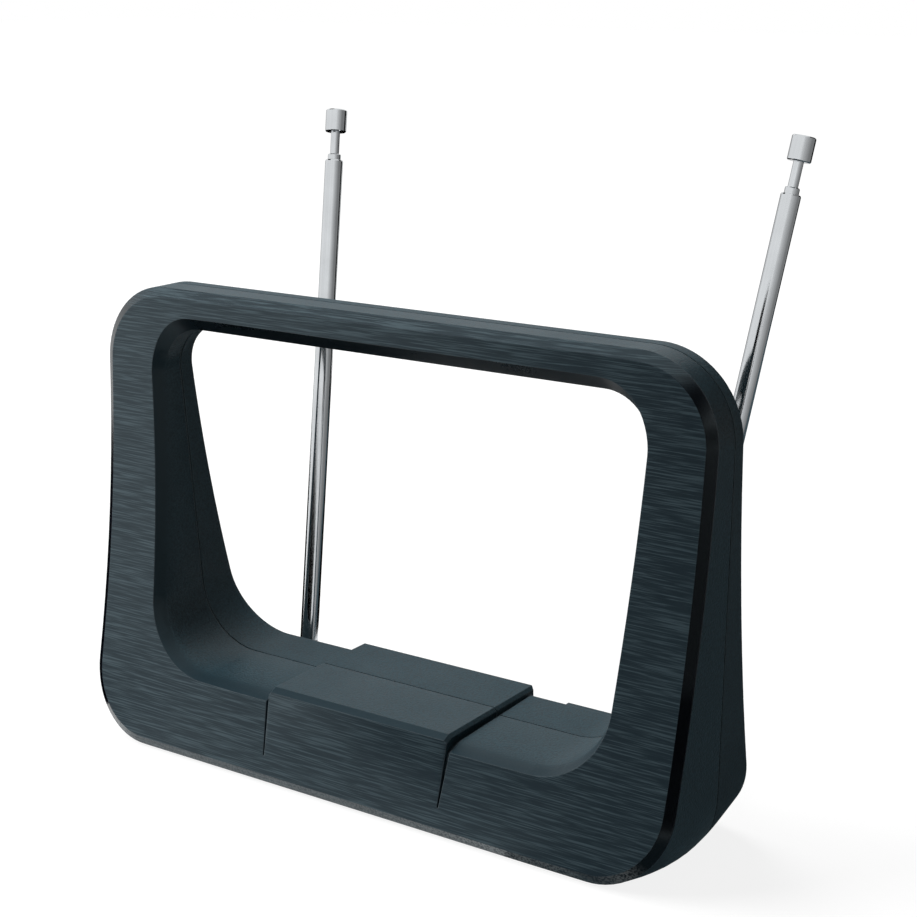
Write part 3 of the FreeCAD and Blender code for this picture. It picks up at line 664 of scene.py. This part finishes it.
def card_finish(name, level, fade=None, tint=(1.0, 1.0, 1.0)):
    """Card of one tone, whatever light falls on it, or one that falls off from white along Y."""
    material = bpy.data.materials.new(name)
    material.use_nodes = True
    tree = material.node_tree
    tone = tree.nodes.new("ShaderNodeEmission")
    tone.inputs["Color"].default_value = rgba(tint)
    tone.inputs["Strength"].default_value = level
    if fade:
        place = tree.nodes.new("ShaderNodeSeparateXYZ")
        fall = tree.nodes.new("ShaderNodeMapRange")
        fall.inputs["From Min"].default_value, fall.inputs["From Max"].default_value = fade
        fall.inputs["To Min"].default_value = 1.0
        fall.inputs["To Max"].default_value = level
        tree.links.new(tree.nodes.new("ShaderNodeTexCoord").outputs["Object"], place.inputs[0])
        tree.links.new(place.outputs["Y"], fall.inputs["Value"])
        tree.links.new(fall.outputs["Result"], tone.inputs["Strength"])
    tree.links.new(tone.outputs[0], tree.nodes["Material Output"].inputs["Surface"])
    return material


def seen_white(tree):
    """1 on rays from the camera, from shiny surfaces and through glass."""
    path = tree.nodes.new("ShaderNodeLightPath")
    total = path.outputs["Is Camera Ray"]
    for name in ("Is Glossy Ray", "Is Transmission Ray"):
        both_rays = tree.nodes.new("ShaderNodeMath")
        both_rays.operation = "MAXIMUM"
        tree.links.new(total, both_rays.inputs[0])
        tree.links.new(path.outputs[name], both_rays.inputs[1])
        total = both_rays.outputs[0]
    return total


def floor_finish(tint):
    """Pale floor that shows white, with the object's soft shadow left in it."""
    material = bpy.data.materials.new("studio_floor")
    material.use_nodes = True
    tree = material.node_tree
    paint = tree.nodes["Principled BSDF"]
    paint.inputs["Base Color"].default_value = rgba(tint)
    paint.inputs["Roughness"].default_value = 0.9
    paint.inputs["Specular IOR Level"].default_value = 0.0
    glow = tree.nodes.new("ShaderNodeEmission")
    faint = tree.nodes.new("ShaderNodeBsdfDiffuse")
    faint.inputs["Color"].default_value = (FLOOR_SHADE, FLOOR_SHADE, FLOOR_SHADE, 1.0)
    place = tree.nodes.new("ShaderNodeTexCoord")
    away = tree.nodes.new("ShaderNodeVectorMath")
    away.operation = "LENGTH"
    fade = tree.nodes.new("ShaderNodeMapRange")
    fade.inputs["From Min"].default_value, fade.inputs["From Max"].default_value = FLOOR_FADE
    fade.inputs["To Min"].default_value, fade.inputs["To Max"].default_value = FLOOR_GLOW
    tree.links.new(place.outputs["Object"], away.inputs[0])
    tree.links.new(away.outputs["Value"], fade.inputs["Value"])
    tree.links.new(fade.outputs["Result"], glow.inputs["Strength"])
    lit = tree.nodes.new("ShaderNodeAddShader")
    swap = tree.nodes.new("ShaderNodeMixShader")
    tree.links.new(glow.outputs[0], lit.inputs[0])
    tree.links.new(faint.outputs[0], lit.inputs[1])
    tree.links.new(seen_white(tree), swap.inputs[0])
    tree.links.new(paint.outputs[0], swap.inputs[1])
    tree.links.new(lit.outputs[0], swap.inputs[2])
    tree.links.new(swap.outputs[0], tree.nodes["Material Output"].inputs["Surface"])
    return material


class ANTENNA_OT_stage(bpy.types.Operator):
    """Floor, light and camera"""

    bl_idname = "antenna.stage"
    bl_label = "Stage"

    def execute(self, context):
        scene = context.scene
        stage = scene.antenna_stage
        clear_selection()
        bpy.ops.mesh.primitive_plane_add(size=stage.floor_size, location=(0.0, 0.0, -FLOOR_DROP))
        floor = bpy.context.object
        floor.name = "studio_floor"
        floor.data.materials.append(floor_finish(stage.floor))

        tones = {
            "black": card_finish("flag_black", 0.0),
            "dim": card_finish("flag_dim", 0.12, tint=(0.60, 0.86, 1.0)),
            "grey": card_finish("flag_grey", 0.55),
            "right": card_finish("flag_right", 0.26, (-0.60, 0.20)),
            "left": card_finish("flag_left", 0.35, (0.05, 0.45)),
        }
        for name, corner, across, up, tone in CARDS:
            flag(name, corner, across, up, tones[tone])

        softbox("key_softbox", (-0.62, -0.52, 0.62), (0.0, -0.02, 0.08), (0.5, 0.5), stage.key_power)
        softbox("top_softbox", (-0.55, 0.05, 1.15), (0.0, 0.0, 0.05), (0.9, 0.7), stage.top_power)

        world = bpy.data.worlds.new("studio")
        world.use_nodes = True
        scene.world = world
        tree = world.node_tree
        sky = tree.nodes["Background"]
        sky.inputs["Color"].default_value = (1.0, 1.0, 1.0, 1.0)
        level = tree.nodes.new("ShaderNodeMapRange")
        level.inputs["To Min"].default_value = stage.ambient
        level.inputs["To Max"].default_value = 1.0
        tree.links.new(seen_white(tree), level.inputs["Value"])
        tree.links.new(level.outputs["Result"], sky.inputs["Strength"])

        bpy.ops.object.camera_add(
            location=stage.camera_place, rotation=look_at(stage.camera_place, stage.camera_aim))
        camera = bpy.context.object
        camera.name = "camera"
        camera.data.lens = stage.camera_lens
        camera.data.sensor_width = 36.0
        camera.data.clip_start = 0.01
        camera.data.clip_end = 50.0
        scene.camera = camera
        scene.view_settings.view_transform = "Standard"
        return {"FINISHED"}


class ANTENNA_PT_panel(bpy.types.Panel):
    """Antenna settings and steps"""

    bl_label = "Indoor Antenna"
    bl_idname = "ANTENNA_PT_panel"
    bl_space_type = "VIEW_3D"
    bl_region_type = "UI"
    bl_category = "Antenna"

    def draw(self, context):
        for key, kind in SETTINGS.items():
            box = self.layout.box()
            for setting in kind.__annotations__:
                box.prop(getattr(context.scene, key), setting)
        for step in STEPS:
            self.layout.operator(step.bl_idname)


SETTINGS = {
    "antenna_shell": AntennaShellSettings,
    "antenna_form": AntennaFormSettings,
    "antenna_metal": AntennaMetalSettings,
    "antenna_stage": AntennaStageSettings,
}
STEPS = (
    ANTENNA_OT_front_shell,
    ANTENNA_OT_rear_shell,
    ANTENNA_OT_feet,
    ANTENNA_OT_rods,
    ANTENNA_OT_swivels,
    ANTENNA_OT_fasteners,
    ANTENNA_OT_coax_socket,
    ANTENNA_OT_inside,
    ANTENNA_OT_stage,
)


def register():
    for kind in (*SETTINGS.values(), *STEPS, ANTENNA_PT_panel):
        bpy.utils.register_class(kind)
    for key, kind in SETTINGS.items():
        setattr(bpy.types.Scene, key, PointerProperty(type=kind))


def unregister():
    for key in SETTINGS:
        delattr(bpy.types.Scene, key)
    for kind in reversed((*SETTINGS.values(), *STEPS, ANTENNA_PT_panel)):
        bpy.utils.unregister_class(kind)


def main():
    register()
    bpy.ops.antenna.front_shell()
    bpy.ops.antenna.rear_shell()
    bpy.ops.antenna.feet()
    bpy.ops.antenna.rods()
    bpy.ops.antenna.swivels()
    bpy.ops.antenna.fasteners()
    bpy.ops.antenna.coax_socket()
    bpy.ops.antenna.inside()
    bpy.ops.antenna.stage()


if __name__ == "__main__":
    main()
